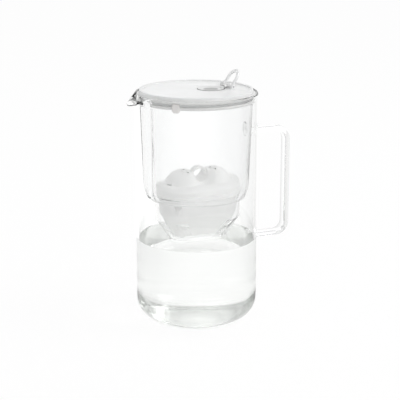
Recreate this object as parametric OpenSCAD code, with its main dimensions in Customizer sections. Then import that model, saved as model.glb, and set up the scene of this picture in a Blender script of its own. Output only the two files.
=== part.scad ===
// Glass water filter pitcher: a straight borosilicate jug with a pulled spout and a
// fused bar handle. A clear hopper hangs in its mouth on a silicone ring and holds an
// oval two-dome filter cartridge. A frosted plug lid closes it, with a round fill flap
// that a thumb loop tips open.
// The origin is the centre of the flat underside. +Z is up, +X points to the handle,
// and the spout points to -X.

/* [Jug] */
// Outside diameter of the glass
jug_d = 125; // [110:1:150]
// Height of the rim above the table
jug_h = 239; // [225:1:270]
// Wall thickness of the glass
glass_t = 2.7; // [2:0.1:4]
// Thickness of the glass under the water
base_t = 5; // [3:0.5:8]
// Outside radius where the wall turns into the base
base_round = 24.5; // [15:0.5:35]

/* [Spout] */
// How far the tip of the lip stands out past the wall
spout_reach = 12; // [6:0.5:16]
// How far the tip of the lip hangs below the rim
spout_drop = 8.5; // [4:0.5:12]
// Half of the angle of rim that is pulled into the spout
spout_spread = 28; // [20:1:40]
// Height of the wall that the pull bends outward
spout_root = 14; // [10:1:20]

/* [Handle] */
// Width of the handle bar, across the hand
handle_w = 12.5; // [10:0.5:18]
// Thickness of the handle bar, from the palm to the glass
handle_t = 6.6; // [5:0.1:9]
// Free space between the glass and the grip
finger_gap = 37; // [30:1:50]
// Height of the upper limb's centreline
handle_top = 194.5; // [180:1:210]
// Height of the lower limb's centreline
handle_low = 81; // [60:1:100]
// Centreline radius of the two bends
handle_bend = 12; // [8:1:18]
// Radius of the fused feet
foot_r = 8; // [7:0.5:12]
// How far the fused feet stand out of the wall
foot_t = 3.2; // [2:0.2:6]

/* [Lid] */
// How far the top of the lid stands above the rim
lid_rise = 3; // [1:0.5:6]
// Thickness of the lid's plate
lid_t = 2.8; // [2:0.2:4]
// Depth of the lid's skirt below its top
skirt_h = 7; // [6.6:0.2:10]
// Thickness of the lid's inner ring
spigot_t = 1.6; // [1.2:0.1:2]
// How far the lid's inner ring reaches down into the hopper
spigot_h = 5; // [3:0.5:8]
// Width of the raised rim round the top of the lid
bead_w = 3; // [2:0.5:5]
// Depth of the dished top inside that rim
dish_depth = 1.2; // [0.2:0.1:1.5]
// Gap between the glass and the plastic of lid and hopper
plug_gap = 2.4; // [1.8:0.1:3.5]

/* [Seals] */
// Gap between the silicone lips and the glass
lip_gap = 0.3; // [0.1:0.05:0.6]
// Height of each silicone ring
ring_h = 3.4; // [2.6:0.2:4]
// Depth of the grooves that hold the rings
groove_depth = 1; // [0.6:0.1:1.4]
// Width of the locating tab under the ring
tab_w = 8; // [5:0.5:12]
// Height of the locating tab
tab_h = 9.4; // [7:0.2:12]
// Angle of the locating tab from the handle, seen from above
tab_angle = 227; // [215:1:260]

/* [Flap] */
// Radius of the round fill flap
flap_r = 14; // [11:0.5:17]
// Distance of the flap's centre from the lid's edge at the handle
flap_in = 41.4; // [36:0.2:46]
// Thickness of the flap
flap_t = 1.6; // [1.2:0.1:2.4]
// Thickness of the silicone ring under the flap
flap_seal_t = 0.8; // [0.6:0.1:1.2]
// Length of the neck between the flap's edge and the hinge barrel
neck_l = 3; // [0:0.5:5]
// Width of the ledge that the flap's seal rests on
ledge_w = 2; // [1.5:0.1:3]
// Depth of the collar round the fill opening, under the plate
fill_collar_h = 3.4; // [2:0.2:6]
// Radius of the steel hinge pin
pin_r = 0.9; // [0.7:0.1:1.2]
// Running clearance of the pin, on the radius
pin_gap = 0.05; // [0.02:0.01:0.1]
// Radius of the hinge barrel
barrel_r = 2; // [1.8:0.1:2.6]
// Thickness of each hinge lug
lug_t = 2.4; // [2:0.2:4]

/* [Thumb loop] */
// Outside width of the loop
loop_w = 22; // [16:1:26]
// Length of the loop from the hinge to its round end
loop_len = 19; // [18:0.5:28]
// Width of the loop's limbs
loop_limb = 4; // [3:0.5:5]
// Thickness of the loop
loop_t = 2.5; // [2:0.1:3.5]
// Lean of the loop, from level
loop_lean = 55; // [48:1:75]

/* [Hopper] */
// Wall thickness of the hopper
hopper_t = 1.8; // [1.4:0.1:2.4]
// Height of the collar that carries the silicone ring
collar_h = 6.2; // [5:0.2:9]
// How much the hopper's radius shrinks from the collar to the floor
hopper_draft = 3; // [1:0.2:5]
// Height of the hopper's floor above the table
floor_z = 134; // [120:1:150]
// Height of the sloped corner between wall and floor
corner_h = 8.5; // [5:0.5:12]
// How far the sloped corner runs inward
corner_in = 3.4; // [1:0.1:4]
// Depth of the well below the floor, to its underside
well_depth = 45.5; // [40:0.5:60]
// Depth of the well's steep upper part
well_upper = 25; // [18:1:32]
// Distance of the well's centre from the jug's axis, towards the handle
well_x = 2; // [0:0.2:2.4]
// Depth of the pour channel in the hopper's wall
channel_depth = 7; // [5:0.5:9]
// Radius of the pour channel
channel_r = 30; // [22:1:40]

/* [Cartridge] */
// Width of the hopper's floor left beyond the flange's end at the handle
floor_ledge = 1; // [0.6:0.2:4]
// Half of the flange's width, across the jug
flange_r = 38; // [30:0.5:41]
// Thickness of the flange
flange_t = 2; // [1.5:0.1:3]
// Distance from the body's middle to the centre of each round end
oval_span = 18; // [15:0.5:19]
// Radius of the body's round ends under the flange
body_r = 24.3; // [22:0.1:25]
// How much the body narrows from the flange to its shoulder
body_draft = 0.7; // [0.3:0.1:1.5]
// Radius of the body's round ends at its bottom
bottom_r = 10; // [8:0.2:11]
// Height of the steep upper part of the body
body_upper = 18; // [14:1:22]
// Height of the tapered lower part of the body
body_lower = 25.5; // [20:0.5:28]
// Wall thickness of the cartridge
cart_t = 1.6; // [1.2:0.1:2.2]
// Room between the body's shoulder and the well
well_gap = 1.6; // [1:0.1:2.2]
// Height of the cap's upright rim
cap_rim_h = 4.6; // [3:0.2:6]
// How far the cap's rim stands out from the body
cap_out = 3.2; // [1:0.1:4]
// Height of the cap's sloped shoulder
cap_shoulder_h = 7; // [5:0.5:9]
// How far the shoulder slopes inward
cap_shoulder_in = 4.5; // [3:0.5:6]
// Radius of the two domes
dome_r = 20; // [18:0.5:21]
// Height of the domes' tops above the floor of the hopper
dome_top = 26; // [24:0.5:28]
// How far each dome's middle is set in from the middle of its round end
dome_in = 1; // [0:0.5:3]
// Radius of the vent holes in the domes
vent_r = 1.5; // [1:0.1:2]
// Distance from one vent of a dome to the other, along the cap
vent_step = 5; // [4:0.5:7]
// Distance from one vent of a dome to the other, across the cap
vent_side = 4; // [3:0.5:6]
// Distance of the first vent from the dome's middle
vent_in = 3; // [2:0.5:4]
// Thickness of the cartridge's seal
cart_seal_t = 0.8; // [0.6:0.1:1.2]
// Width of the cartridge's seal
cart_seal_w = 3.1; // [2:0.1:4]
// Number of outlet slots in the bottom
outlet_count = 7; // [3:1:9]
// Width of each outlet slot
outlet_w = 1.6; // [1:0.1:2.2]
// Thickness of each fine screen
screen_t = 0.8; // [0.5:0.1:1.2]
// Share of the filter bed that is carbon
carbon_share = 0.42; // [0.3:0.02:0.6]

/* [Pull loop] */
// Inside radius of the arch between the domes
arch_r = 7; // [6:0.5:8]
// Thickness of the arch
arch_t = 2.6; // [2:0.2:3.5]
// Width of the arch
arch_w = 8; // [6:0.5:12]
// Height of the arch's top above the floor of the hopper
arch_top = 28; // [27:0.5:30]
// Radius of the finger recess under the arch
recess_r = 6.6; // [5.5:0.1:6.8]

/* [Hidden] */
$fn = 96;
// A cut runs this far past the face that it opens
over = 1;
// Fixed parts meet with this gap
seat = 0.3;
// A solid that joins its neighbour runs this far into it
bite = 0.2;

// Glass
jug_r = jug_d / 2;
bore_r = jug_r - glass_t;
flat_r = jug_r - base_round;
inner_round = base_round - glass_t;
wall_mid = jug_r - glass_t / 2;
spout_steps = 18;
spout_rows = 8;
// Half of the lip's thickness, just under the wall's, so that its ends stay inside the wall
lip_half = glass_t / 2 - 0.05;
spout_foot = jug_h - glass_t / 2 - spout_root;

// Handle
grip_x = jug_r + finger_gap + handle_t / 2;
handle_round = handle_t / 2 - 0.4;

// Lid and hopper collar
lid_top = jug_h + lid_rise;
plate_z = lid_top - lid_t;
plug_r = bore_r - plug_gap;
lip_r = bore_r - lip_gap;
skirt_z = lid_top - skirt_h;
lid_ring_z = skirt_z + (skirt_h - lid_t - ring_h) / 2;
collar_z = skirt_z - seat;
collar_low = collar_z - collar_h;
hopper_ring_z = collar_low + (collar_h - ring_h) / 2;
groove_r = plug_r - groove_depth;
tab_z = collar_z + 1.8 - tab_h;
tab_seat = 0.05;
tab_half = asin(tab_w / 2 / lip_r);
hopper_top_r = plug_r - 0.4;
hopper_low_r = hopper_top_r - hopper_draft;
spigot_in = hopper_t + seat;
spigot_r = hopper_top_r - spigot_in;
channel_x = -(hopper_top_r - channel_depth + channel_r);

// Hopper floor and well
corner_z = floor_z + corner_h;
floor_r = hopper_low_r - hopper_t - corner_in;
well_z = floor_z - well_depth;
well_mid_z = floor_z - well_upper;
outlet_r = 6;

// Cartridge, from the seal up and down
flange_span = floor_r - well_x - flange_r - floor_ledge;
body_low_r = body_r - body_draft;
dome_x = oval_span - dome_in;
seal_z = floor_z + seat / 2;
flange_z = seal_z + cart_seal_t;
cap_z = flange_z + flange_t;
cap_top_z = cap_z + cap_rim_h;
body_mid_z = flange_z - body_upper;
body_z = body_mid_z - body_lower;
well_top_r = body_r + well_gap;
well_mid_r = body_low_r + well_gap;
well_low_r = bottom_r + well_gap;
dome_z = floor_z + dome_top - dome_r;
arch_z = floor_z + arch_top - arch_r - arch_t;
bed_low = body_z + cart_t + screen_t;
bed_top = cap_z - screen_t;
bed_split = bed_top - (bed_top - bed_low) * carbon_share;

// Flap hinge
flap_x = plug_r - flap_in;
flap_z = lid_top - dish_depth / 2 - flap_t;
flap_gap = 0.4;
fill_r = flap_r - ledge_w;
fill_wall = 2;
ledge_z = flap_z - flap_seal_t - seat;
pin_x = flap_x + flap_r + neck_l + barrel_r;
pin_z = lid_top - dish_depth + seat + barrel_r;
barrel_len = loop_w;
neck_w = 0.4 * loop_w;
lug_y = barrel_len / 2 + seat;
lug_eye = barrel_r + 0.2;

// An upright solid with straight sides and two round ends, whose ends may taper
module oval(r_low, r_high, h, span = oval_span) {
    for (side = [-1, 1]) {
        translate([side * span, 0, 0]) {
            cylinder(h = h, r1 = r_low, r2 = r_high);
        }
    }
    rotate([90, 0, 90]) {
        linear_extrude(height = 2 * span, center = true) {
            polygon([[-r_low, 0], [r_low, 0], [r_high, h], [-r_high, h]]);
        }
    }
}

// A straight round-ended plate
module oval_plate(r, h, span = oval_span) {
    linear_extrude(height = h) oval_outline(r, span);
}

module oval_outline(r, span = oval_span) {
    for (side = [-1, 1]) {
        translate([side * span, 0]) circle(r);
    }
    square([2 * span, 2 * r], center = true);
}

// A flat ring
module ring(r_out, r_in, h) {
    linear_extrude(height = h) {
        difference() {
            circle(r_out);
            circle(r_in);
        }
    }
}

// A round block between two heights, hollowed by the pour channel
module channelled(r, z_low, z_high, grow = 0) {
    difference() {
        translate([0, 0, z_low]) cylinder(h = z_high - z_low, r = r);
        channel_cut(z_low - over, z_high - z_low + 2 * over, grow);
    }
}

module channel_cut(z, h, grow = 0) {
    translate([channel_x, 0, z]) cylinder(h = h, r = channel_r + grow);
}

// Half section of the plain glass wall, with its round rim
module wall_section() {
    difference() {
        union() {
            translate([0, base_round]) square([jug_r, jug_h - base_round - glass_t / 2]);
            square([flat_r, base_round]);
            intersection() {
                translate([flat_r, base_round]) circle(base_round);
                square([jug_r, base_round]);
            }
            translate([wall_mid, jug_h - glass_t / 2]) circle(glass_t / 2);
        }
        translate([0, base_t + inner_round]) square([bore_r, jug_h]);
        translate([0, base_t]) square([flat_r, jug_h]);
        intersection() {
            translate([flat_r, base_t + inner_round]) circle(inner_round);
            translate([0, base_t]) square([bore_r, inner_round + over]);
        }
    }
}

// How strongly the lip is pulled at an angle from the spout's middle
function pull(a) = abs(a) >= spout_spread ? 0 : pow(cos(90 * a / spout_spread), 4);

// Corner points of the curve that the middle of the lip follows
lip_start = [wall_mid, spout_foot];
lip_rise = [wall_mid, spout_foot + spout_root * 0.85];
lip_crest = [wall_mid + spout_reach * 0.7, spout_foot + spout_root * 1.05];
lip_tip = [jug_r + spout_reach - glass_t / 2, jug_h - spout_drop];

function lip_curve(q) = pow(1 - q, 3) * lip_start + 3 * q * pow(1 - q, 2) * lip_rise
    + 3 * q * q * (1 - q) * lip_crest + q * q * q * lip_tip;
function wall_line(q) = [wall_mid, spout_foot + spout_root * q];
function lip_middle(q, w) = (1 - w) * wall_line(q) + w * lip_curve(q);

// The outward normal of that curve, and a point at one side of it
function lip_slope(q, w) = lip_middle(min(q + 0.01, 1), w) - lip_middle(max(q - 0.01, 0), w);
function lip_normal(q, w) = let (s = lip_slope(q, w)) [s[1], -s[0]] / norm(s);
function lip_side(q, w, side) = lip_middle(q, w) + side * lip_half * lip_normal(q, w);

// The round edge at the end of the lip
function lip_edge(t, w) = let (n = lip_normal(1, w))
    lip_middle(1, w) + lip_half * (cos(t) * n + sin(t) * [-n[1], n[0]]);

// One closed section of the lip, up its outside and down its inside
function lip_section(w) = concat(
    [for (i = [0 : spout_rows]) lip_side(i / spout_rows, w, 1)],
    [for (t = [45, 90, 135]) lip_edge(t, w)],
    [for (i = [spout_rows : -1 : 0]) lip_side(i / spout_rows, w, -1)]);

function at_angle(p, a) = [-p[0] * cos(a), -p[0] * sin(a), p[1]];

// The pulled lip, swept from one side of the spout to the other
module spout_lip() {
    per = 2 * (spout_rows + 1) + 3;
    last = spout_steps * per;
    angles = [for (i = [0 : spout_steps]) spout_spread * (2 * i / spout_steps - 1)];
    points = [for (a = angles) for (p = lip_section(pull(a))) at_angle(p, a)];
    sides = [for (i = [0 : spout_steps - 1]) for (j = [0 : per - 1])
        let (k = (j + 1) % per, a = i * per, b = a + per)
        each [[a + j, b + k, b + j], [a + j, a + k, b + k]]];
    first_end = [for (j = [per - 1 : -1 : 0]) j];
    last_end = [for (j = [0 : per - 1]) last + j];
    polyhedron(points, concat(sides, [first_end, last_end]), convexity = 6);
}

// The sector of plain wall that the lip takes the place of
module spout_gap() {
    reach = jug_r + over;
    edge = reach * tan(spout_spread - 0.4);
    translate([0, 0, spout_foot + bite]) {
        linear_extrude(height = spout_root + glass_t) {
            polygon([[0, 0], [-reach, edge], [-reach, -edge]]);
        }
    }
}

module glass_body() color("lightcyan", 0.35) {
    difference() {
        rotate_extrude($fn = 180) wall_section();
        spout_gap();
    }
    spout_lip();
}

// Section of the handle bar: a flat bar with round edges
module bar_section() {
    for (x = [-1, 1]) {
        for (y = [-1, 1]) {
            translate([x * (handle_t / 2 - handle_round), y * (handle_w / 2 - handle_round)]) {
                circle(handle_round, $fn = 32);
            }
        }
    }
    square([handle_t - 2 * handle_round, handle_w], center = true);
    square([handle_t, handle_w - 2 * handle_round], center = true);
}

// A quarter bend of the bar, from pointing along +X to pointing down
module bar_bend() {
    rotate([90, 0, 0]) {
        rotate_extrude(angle = 90) translate([handle_bend, 0]) bar_section();
    }
}

// A fused foot: a round pad that flows into the glass
module handle_foot() {
    rotate([0, 90, 0]) {
        cylinder(h = jug_r + foot_t - foot_t / 2, r = foot_r);
        translate([0, 0, jug_r + foot_t / 2]) {
            cylinder(h = foot_t, r1 = foot_r, r2 = handle_t / 2 + 1);
        }
    }
}

module glass_handle() color("lightcyan", 0.35) difference() {
    union() {
        for (z = [handle_top, handle_low]) {
            translate([0, 0, z]) {
                rotate([0, 90, 0]) linear_extrude(height = grip_x - handle_bend) bar_section();
                handle_foot();
            }
        }
        translate([grip_x - handle_bend, 0, handle_top - handle_bend]) bar_bend();
        translate([grip_x - handle_bend, 0, handle_low + handle_bend]) mirror([0, 0, 1]) bar_bend();
        translate([grip_x, 0, handle_low + handle_bend]) {
            linear_extrude(height = handle_top - handle_low - 2 * handle_bend) bar_section();
        }
    }
    cylinder(h = jug_h, r = jug_r, $fn = 180);
}

// The outside of the oval well, or its inside when grow is negative
module well_shape(grow, z_low) {
    translate([well_x, 0, z_low]) {
        oval(well_low_r + grow, well_mid_r + grow, well_mid_z - z_low);
    }
    translate([well_x, 0, well_mid_z]) {
        oval(well_mid_r + grow, well_top_r + grow, floor_z - well_mid_z);
    }
}

module hopper() color("aliceblue", 0.3) difference() {
    union() {
        difference() {
            union() {
                translate([0, 0, corner_z]) {
                    cylinder(h = collar_low - corner_z, r1 = hopper_low_r, r2 = hopper_top_r);
                }
                translate([0, 0, floor_z - hopper_t]) {
                    cylinder(h = corner_h + hopper_t, r1 = floor_r + hopper_t, r2 = hopper_low_r);
                }
                translate([0, 0, collar_low]) cylinder(h = collar_h, r = plug_r);
            }
            channel_cut(floor_z - hopper_t - over, jug_h);
        }
        well_shape(hopper_t, well_z);
    }
    difference() {
        union() {
            translate([0, 0, corner_z]) {
                cylinder(h = collar_z + over - corner_z, r1 = hopper_low_r - hopper_t,
                         r2 = hopper_top_r - hopper_t);
            }
            translate([0, 0, floor_z]) {
                cylinder(h = corner_h, r1 = floor_r, r2 = hopper_low_r - hopper_t);
            }
        }
        channel_cut(floor_z - over, jug_h, hopper_t);
    }
    well_shape(0, well_z + hopper_t);
    translate([well_x, 0, well_z - over]) oval_plate(outlet_r, hopper_t + 2 * over);
    translate([0, 0, hopper_ring_z]) ring(plug_r + over, groove_r, ring_h);
}

// A silicone ring with one round lip, open at the pour channel
module lip_ring(z) {
    lip = ring_h / 2 - 0.3;
    difference() {
        translate([0, 0, z]) {
            rotate_extrude() {
                translate([groove_r, 0]) square([plug_r - groove_r + bite, ring_h]);
                translate([plug_r, ring_h / 2 - lip]) square([lip_r - plug_r - lip, 2 * lip]);
                translate([lip_r - lip, ring_h / 2]) circle(lip);
            }
        }
        channel_cut(z - over, ring_h + 2 * over);
    }
}

module hopper_ring() color("gainsboro") difference() {
    lip_ring(hopper_ring_z);
    tab_space(tab_seat);
}

// The room that the locating tab takes out of the two rings
module tab_space(grow) {
    half = tab_half + asin(grow / plug_r);
    rotate([0, 0, tab_angle - half]) {
        rotate_extrude(angle = 2 * half, $fn = 360) {
            translate([plug_r, tab_z - grow]) square([plug_gap, tab_h + 2 * grow]);
        }
    }
}

// A curved tab on the collar, stepped back where the lid's skirt passes it
module locating_tab() color("linen") rotate([0, 0, tab_angle - tab_half]) {
    rotate_extrude(angle = 2 * tab_half, $fn = 360) {
        polygon([[plug_r + tab_seat, tab_z], [lip_r, tab_z], [lip_r, tab_z + tab_h],
                 [plug_r + seat, tab_z + tab_h], [plug_r + seat, collar_z],
                 [plug_r + tab_seat, collar_z]]);
    }
}

// Cartridge pieces are drawn about the well's centre
module cartridge_seal() color("silver") {
    translate([well_x, 0, seal_z]) {
        linear_extrude(height = cart_seal_t) {
            difference() {
                oval_outline(body_r + cart_seal_w);
                oval_outline(body_r);
            }
        }
    }
}

module cartridge_cup() color("white") translate([well_x, 0, 0]) difference() {
    union() {
        translate([0, 0, body_z]) oval(bottom_r, body_low_r, body_lower);
        translate([0, 0, body_mid_z]) oval(body_low_r, body_r, body_upper);
        translate([0, 0, flange_z]) oval_plate(flange_r, flange_t, flange_span);
    }
    translate([0, 0, body_z + cart_t]) {
        oval(bottom_r - cart_t, body_low_r - cart_t, body_lower - cart_t);
    }
    translate([0, 0, body_mid_z]) {
        oval(body_low_r - cart_t, body_r - cart_t, body_upper + flange_t);
    }
    for (i = [0 : outlet_count - 1]) {
        x = oval_span * (2 * i / (outlet_count - 1) - 1);
        translate([x, 0, body_z]) {
            cube([outlet_w, bottom_r, 2 * cart_t + over], center = true);
        }
    }
}

// The cap's rounded form, or its inside when shrink is the wall
module cap_form(shrink) {
    shoulder_r = body_r + cap_out;
    translate([0, 0, cap_z]) oval_plate(shoulder_r - shrink, cap_rim_h - shrink);
    translate([0, 0, cap_top_z - shrink]) {
        oval(shoulder_r - shrink, shoulder_r - cap_shoulder_in - shrink, cap_shoulder_h);
    }
    for (side = [-1, 1]) {
        translate([side * dome_x, 0, 0]) intersection() {
            translate([0, 0, dome_z]) sphere(dome_r - shrink);
            translate([0, 0, cap_top_z]) cylinder(h = dome_top, r = dome_r);
        }
    }
}

// Finger recess across the valley between the domes
module finger_recess(grow = 0) {
    translate([0, 0, arch_z + arch_t]) {
        rotate([90, 0, 0]) cylinder(h = 4 * dome_r, r = recess_r + grow, center = true);
    }
}

module cartridge_cap() color("whitesmoke") translate([well_x, 0, 0]) difference() {
    cap_form(0);
    difference() {
        translate([0, 0, -bite]) cap_form(cart_t);
        finger_recess(cart_t);
    }
    finger_recess();
    vent_holes();
}

// Two vents in each dome and one in each end of the shoulder
module vent_holes() {
    for (side = [-1, 1]) {
        for (step = [0, 1]) {
            translate([side * (dome_x - vent_in + vent_step * step), -vent_side * step, cap_top_z]) {
                cylinder(h = dome_top, r = vent_r);
            }
        }
        translate([side * (oval_span + body_r * 0.75), 0, cap_z + over]) {
            cylinder(h = dome_top, r = vent_r);
        }
    }
}

module pull_loop() color("whitesmoke") translate([well_x, 0, 0]) difference() {
    translate([0, arch_w / 2, arch_z]) {
        rotate([90, 0, 0]) {
            linear_extrude(height = arch_w) {
                difference() {
                    circle(arch_r + arch_t);
                    circle(arch_r);
                    translate([-2 * dome_r, -4 * dome_r]) square([4 * dome_r, 4 * dome_r]);
                }
            }
        }
    }
    for (side = [-1, 1]) {
        translate([side * dome_x, 0, dome_z]) sphere(dome_r);
    }
}

// A layer inside the cup between two heights, just clear of its wall
module bed_layer(z_low, z_high) {
    fill = cart_t + seat / 2;
    inner_z = body_z + cart_t;
    function wall_r(z) = z < body_mid_z
        ? bottom_r + (body_low_r - bottom_r) * (z - inner_z) / (body_mid_z - inner_z)
        : body_low_r + (body_r - body_low_r) * (z - body_mid_z) / (cap_z - body_mid_z);
    mid = min(max(body_mid_z, z_low), z_high);
    translate([well_x, 0, z_low]) {
        if (mid > z_low) {
            oval(wall_r(z_low) - fill, wall_r(mid) - fill, mid - z_low);
        }
        if (z_high > mid) {
            translate([0, 0, mid - z_low]) {
                oval(wall_r(mid) - fill, wall_r(z_high) - fill, z_high - mid);
            }
        }
    }
}

module top_screen() color("lightgray") bed_layer(bed_top, cap_z);

module carbon_bed() color("dimgray") bed_layer(bed_split + screen_t, bed_top);

module middle_screen() color("lightgray") bed_layer(bed_split, bed_split + screen_t);

module resin_bed() color("goldenrod") bed_layer(bed_low, bed_split);

module bottom_screen() color("lightgray") bed_layer(bed_low - screen_t, bed_low);

module lid_plate() color("white", 0.7) difference() {
    union() {
        difference() {
            union() {
                channelled(plug_r, skirt_z, plate_z + bite);
                channelled(spigot_r, skirt_z - spigot_h, plate_z, spigot_in);
            }
            channelled(spigot_r - spigot_t, skirt_z - spigot_h - over, plate_z,
                       spigot_in + spigot_t);
            translate([0, 0, lid_ring_z]) ring(plug_r + over, groove_r, ring_h);
        }
        translate([0, 0, plate_z]) cylinder(h = lid_t, r = plug_r);
        translate([flap_x, 0, plate_z - fill_collar_h]) {
            cylinder(h = fill_collar_h, r = flap_r + flap_gap + fill_wall);
        }
        for (side = [-1, 1]) hinge_lug(side);
    }
    translate([0, 0, lid_top - dish_depth]) dish();
    translate([flap_x, 0, ledge_z]) cylinder(h = lid_t + over, r = flap_r + flap_gap);
    translate([flap_x, 0, plate_z - fill_collar_h - over]) {
        cylinder(h = lid_t + fill_collar_h, r = fill_r);
    }
    hinge_bore(pin_r, 2 * (lug_y + lug_t + over));
}

// The dished middle of the lid's top, without the feet of the hinge lugs
module dish() {
    difference() {
        cylinder(h = dish_depth + over, r = plug_r - bead_w);
        for (side = [-1, 1]) {
            translate([pin_x, side * (lug_y + lug_t / 2), 0]) {
                cube([2 * lug_eye, lug_t, 3 * (dish_depth + over)], center = true);
            }
        }
    }
}

// A lug that carries one end of the hinge pin
module hinge_lug(side) {
    translate([pin_x, side * (lug_y + lug_t / 2), 0]) {
        translate([0, 0, pin_z]) {
            rotate([90, 0, 0]) cylinder(h = lug_t, r = lug_eye, center = true);
        }
        translate([-lug_eye, -lug_t / 2, plate_z]) cube([2 * lug_eye, lug_t, pin_z - plate_z]);
    }
}

module hinge_bore(r, len) {
    translate([pin_x, 0, pin_z]) rotate([90, 0, 0]) cylinder(h = len, r = r, center = true);
}

module lid_seal() color("gainsboro") difference() {
    lip_ring(lid_ring_z);
    tab_space(seat);
}

module fill_flap() color("white", 0.8) difference() {
    union() {
        translate([flap_x, 0, flap_z]) cylinder(h = flap_t, r = flap_r);
        flap_neck(flap_z, flap_x + 0.9 * flap_r);
        flap_neck(pin_z - barrel_r, pin_x);
        hinge_bore(barrel_r, barrel_len);
    }
    hinge_bore(pin_r + pin_gap, barrel_len + over);
}

// Part of the neck from the flap to the barrel, above a height and up to an end
module flap_neck(z, end_x) {
    start_x = flap_x + flap_r / 2;
    translate([start_x, -neck_w / 2, z]) {
        cube([end_x - start_x, neck_w, pin_z + barrel_r / 2 - z]);
    }
}

module flap_seal() color("gainsboro") {
    translate([flap_x, 0, flap_z - flap_seal_t]) ring(flap_r - seat, fill_r + seat, flap_seal_t);
}

// The loop stands on the barrel and leans towards the handle
module thumb_loop() color("white", 0.8) difference() {
    translate([pin_x, 0, pin_z]) {
        rotate([0, -loop_lean, 0]) {
            translate([0, 0, -loop_t / 2]) linear_extrude(height = loop_t) loop_outline();
        }
    }
    hinge_bore(barrel_r, 2 * loop_w);
}

module loop_outline() {
    difference() {
        round_end(0, loop_w / 2);
        round_end(barrel_r + 1.5, loop_w / 2 - loop_limb);
    }
}

// A strip from a start to the round end of the loop, of the half width given
module round_end(start, half_w) {
    middle = loop_len - loop_w / 2;
    intersection() {
        translate([start, -half_w]) square([loop_len, 2 * half_w]);
        union() {
            translate([0, -half_w]) square([middle, 2 * half_w]);
            translate([middle, 0]) circle(half_w);
        }
    }
}

module hinge_pin() color("silver") hinge_bore(pin_r, 2 * (lug_y + lug_t));

glass_body();
glass_handle();
hopper();
hopper_ring();
locating_tab();
cartridge_seal();
cartridge_cup();
cartridge_cap();
pull_loop();
top_screen();
carbon_bed();
middle_screen();
resin_bed();
bottom_screen();
lid_plate();
lid_seal();
fill_flap();
flap_seal();
thumb_loop();
hinge_pin();
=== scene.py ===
"""Glass water filter pitcher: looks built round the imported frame. Metres, +Z up, +X to the handle."""

import math

import bmesh
import bpy
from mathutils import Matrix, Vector


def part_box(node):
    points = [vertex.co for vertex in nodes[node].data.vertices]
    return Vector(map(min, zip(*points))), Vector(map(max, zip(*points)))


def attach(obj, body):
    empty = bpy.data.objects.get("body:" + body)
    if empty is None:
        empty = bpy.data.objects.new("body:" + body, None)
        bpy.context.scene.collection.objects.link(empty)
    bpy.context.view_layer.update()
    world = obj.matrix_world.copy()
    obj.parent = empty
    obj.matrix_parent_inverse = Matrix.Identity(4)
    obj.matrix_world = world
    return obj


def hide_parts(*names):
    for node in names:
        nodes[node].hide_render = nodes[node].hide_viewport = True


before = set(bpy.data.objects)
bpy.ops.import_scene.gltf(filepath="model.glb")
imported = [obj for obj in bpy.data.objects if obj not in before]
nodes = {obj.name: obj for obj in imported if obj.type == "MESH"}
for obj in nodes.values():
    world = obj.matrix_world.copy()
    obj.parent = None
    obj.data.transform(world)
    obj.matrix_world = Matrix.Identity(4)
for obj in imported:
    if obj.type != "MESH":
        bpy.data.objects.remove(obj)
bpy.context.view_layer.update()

MM = 0.001

# Points round the large rings and round the cap
ROUND_STEPS = 288
CAP_STEPS = 192

# Jug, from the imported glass
JUG_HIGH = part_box("glass_body")[1]
JUG_H = JUG_HIGH.z
JUG_R = JUG_HIGH.y
GLASS_T = 2.7 * MM
BORE_R = JUG_R - GLASS_T
BASE_T = 5 * MM
BASE_ROUND = 24.5 * MM
FLAT_R = JUG_R - BASE_ROUND
INNER_ROUND = BASE_ROUND - GLASS_T
INNER_LOW = BASE_T + INNER_ROUND
WALL_MID = JUG_R - GLASS_T / 2
PUNT_H = 0.9 * MM
INNER_RISE = 0.5 * MM
AXIS_GAP = 0.4 * MM

# Spout, with its spread in degrees, and its middle line's rise, crest and lean as shares
SPOUT_REACH = 12 * MM
SPOUT_DROP = 8.5 * MM
SPOUT_SPREAD = 28
SPOUT_ROOT = 14 * MM
SPOUT_FOOT = JUG_H - GLASS_T / 2 - SPOUT_ROOT
SPOUT_RISE = 0.85
SPOUT_CREST = 1.05
SPOUT_LEAN = 0.7
LIP_THINNING = 0.4

# Handle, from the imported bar
BAR_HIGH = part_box("glass_handle")[1]
BAR_T = 6.6 * MM
BAR_W = 12.5 * MM
BEND_R = 12 * MM
FOOT_R = 8 * MM
FOOT_REACH = 5.2 * MM
LIMB_LOW = 81 * MM
LIMB_HIGH = 194.5 * MM
GRIP_X = BAR_HIGH.x - BAR_T / 2
BAR_ROUNDNESS = 0.62

# Hopper
PLUG_R = 57.4 * MM
HOPPER_T = 1.8 * MM
COLLAR_STEP = 0.4 * MM
HOPPER_TOP_R = PLUG_R - COLLAR_STEP
HOPPER_DRAFT = 3 * MM
HOPPER_LOW_R = HOPPER_TOP_R - HOPPER_DRAFT
HOPPER_EDGE = 0.45 * MM
COLLAR_H = 6.2 * MM
COLLAR_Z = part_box("hopper")[1].z
COLLAR_LOW = COLLAR_Z - COLLAR_H
FLOOR_Z = 134 * MM
CORNER_H = 8.5 * MM
CORNER_W = 3.4 * MM
FLOOR_R = HOPPER_LOW_R - HOPPER_T - CORNER_W
RING_H = 3.4 * MM
HOPPER_RING_Z = COLLAR_LOW + (COLLAR_Z - COLLAR_LOW - RING_H) / 2
GROOVE_DEPTH = 1 * MM
GROOVE_R = PLUG_R - GROOVE_DEPTH
CHANNEL_R = 30 * MM
CHANNEL_DEPTH = 7 * MM
CHANNEL_X = HOPPER_TOP_R - CHANNEL_DEPTH + CHANNEL_R
CHANNEL_BLEND = 1.2 * MM
WELL_X = 2 * MM
WELL_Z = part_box("hopper")[0].z
WELL_TOP_H = 25 * MM
WELL_MID_Z = FLOOR_Z - WELL_TOP_H
OUTLET_R = 6 * MM

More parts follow.
